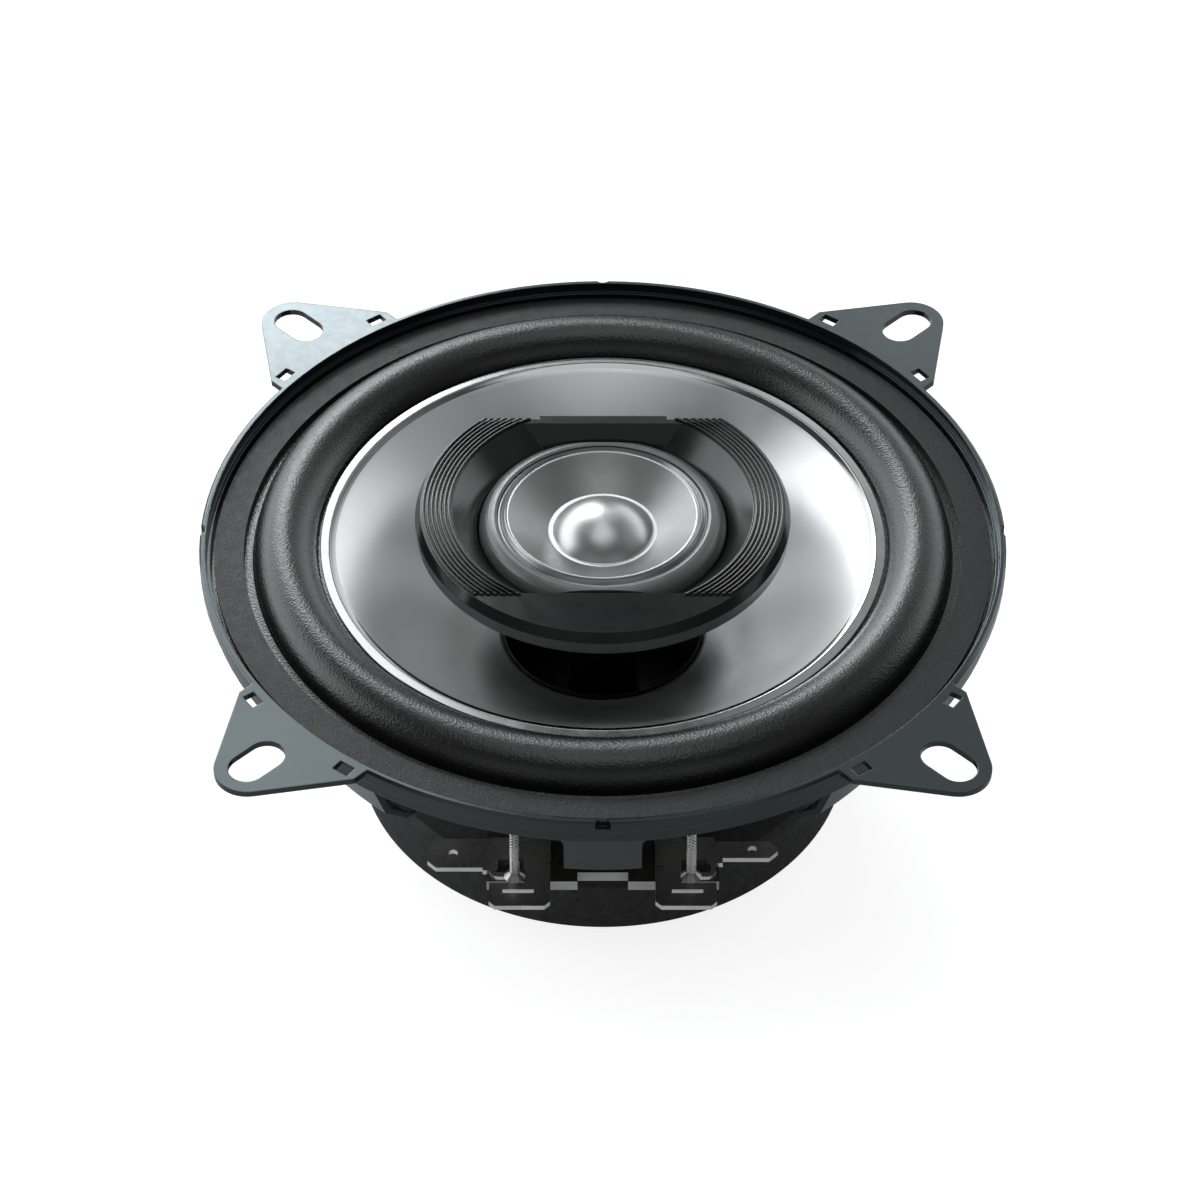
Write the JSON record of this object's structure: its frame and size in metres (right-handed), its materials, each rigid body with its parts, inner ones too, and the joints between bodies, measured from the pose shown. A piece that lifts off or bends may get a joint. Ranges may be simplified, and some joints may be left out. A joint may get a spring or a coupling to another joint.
{
  "type": "coaxial car speaker",
  "caption": "Round coaxial car loudspeaker with a four-eared pressed steel basket, a metallised cone, a rolled surround, a central post-mounted dome tweeter and a ferrite magnet.",
  "frame": {"origin": "centre of the mounting plane, on the speaker's axis at the height of the four ears' underside", "axes": "+Z out of the panel, towards the listener; the ears lie on X and Y, and the terminals at -45 degrees, between +X and -Y"},
  "size_m": [0.1268, 0.1268, 0.0475],
  "materials": {
    "basket": "satin",
    "gasket": "matte",
    "plated_steel": "satin",
    "ferrite": "matte",
    "rivet_metal": "satin",
    "surround": "satin",
    "spider": "matte",
    "board": "matte",
    "tinned_metal": "satin",
    "solder": "satin",
    "tinsel": "satin",
    "post": "satin",
    "nut": "satin",
    "capacitor": "satin",
    "housing": "gloss",
    "tweeter_face": "satin",
    "small_magnet": "gloss",
    "tweeter_edge": "satin",
    "lead_wire": "satin",
    "cone": "metallised",
    "former": "satin",
    "coil_wire": "gloss",
    "adhesive": "gloss",
    "eyelet": "satin",
    "tweeter_cone": "gloss",
    "tweeter_dome": "gloss"
  },
  "bodies": {
    "frame": {"basket": "basket", "gasket": "gasket", "top_plate": "plated_steel", "magnet": "ferrite", "back_plate": "plated_steel", "plate_rivets": "rivet_metal", "surround": "surround", "spider": "spider", "terminal_board": "board", "board_rivets": "rivet_metal", "terminal_positive": "tinned_metal", "terminal_negative": "tinned_metal", "solder_joints": "solder", "tinsel_lead_positive": "tinsel", "tinsel_lead_negative": "tinsel", "tweeter_post": "post", "post_nut": "nut", "capacitor": "capacitor", "tweeter_base": "housing", "tweeter_cover": "housing", "tweeter_face": "tweeter_face", "tweeter_yoke": "plated_steel", "tweeter_magnet": "small_magnet", "tweeter_pole_plate": "plated_steel", "tweeter_edge": "tweeter_edge", "tweeter_leads": "lead_wire"},
    "cone": {"cone": "cone", "coil_former": "former", "voice_coil": "coil_wire", "lead_pads": "adhesive", "cone_eyelets": "eyelet"},
    "tweeter_diaphragm": {"tweeter_cone": "tweeter_cone", "tweeter_dome": "tweeter_dome", "tweeter_former": "former", "tweeter_coil": "coil_wire"}
  },
  "joints": [
    {"name": "cone_travel", "type": "slide", "parent": "frame", "child": "cone", "axis": [0, 0, 1], "range_m": [-0.0025, 0.0025], "stiffness_N_per_m": 1600, "deforming": ["surround", "spider", "tinsel_lead_positive", "tinsel_lead_negative", "tweeter_leads"]},
    {"name": "tweeter_travel", "type": "slide", "parent": "frame", "child": "tweeter_diaphragm", "axis": [0, 0, 1], "range_m": [-0.00025, 0.00025], "stiffness_N_per_m": 2000, "deforming": ["tweeter_edge"]}
  ]
}
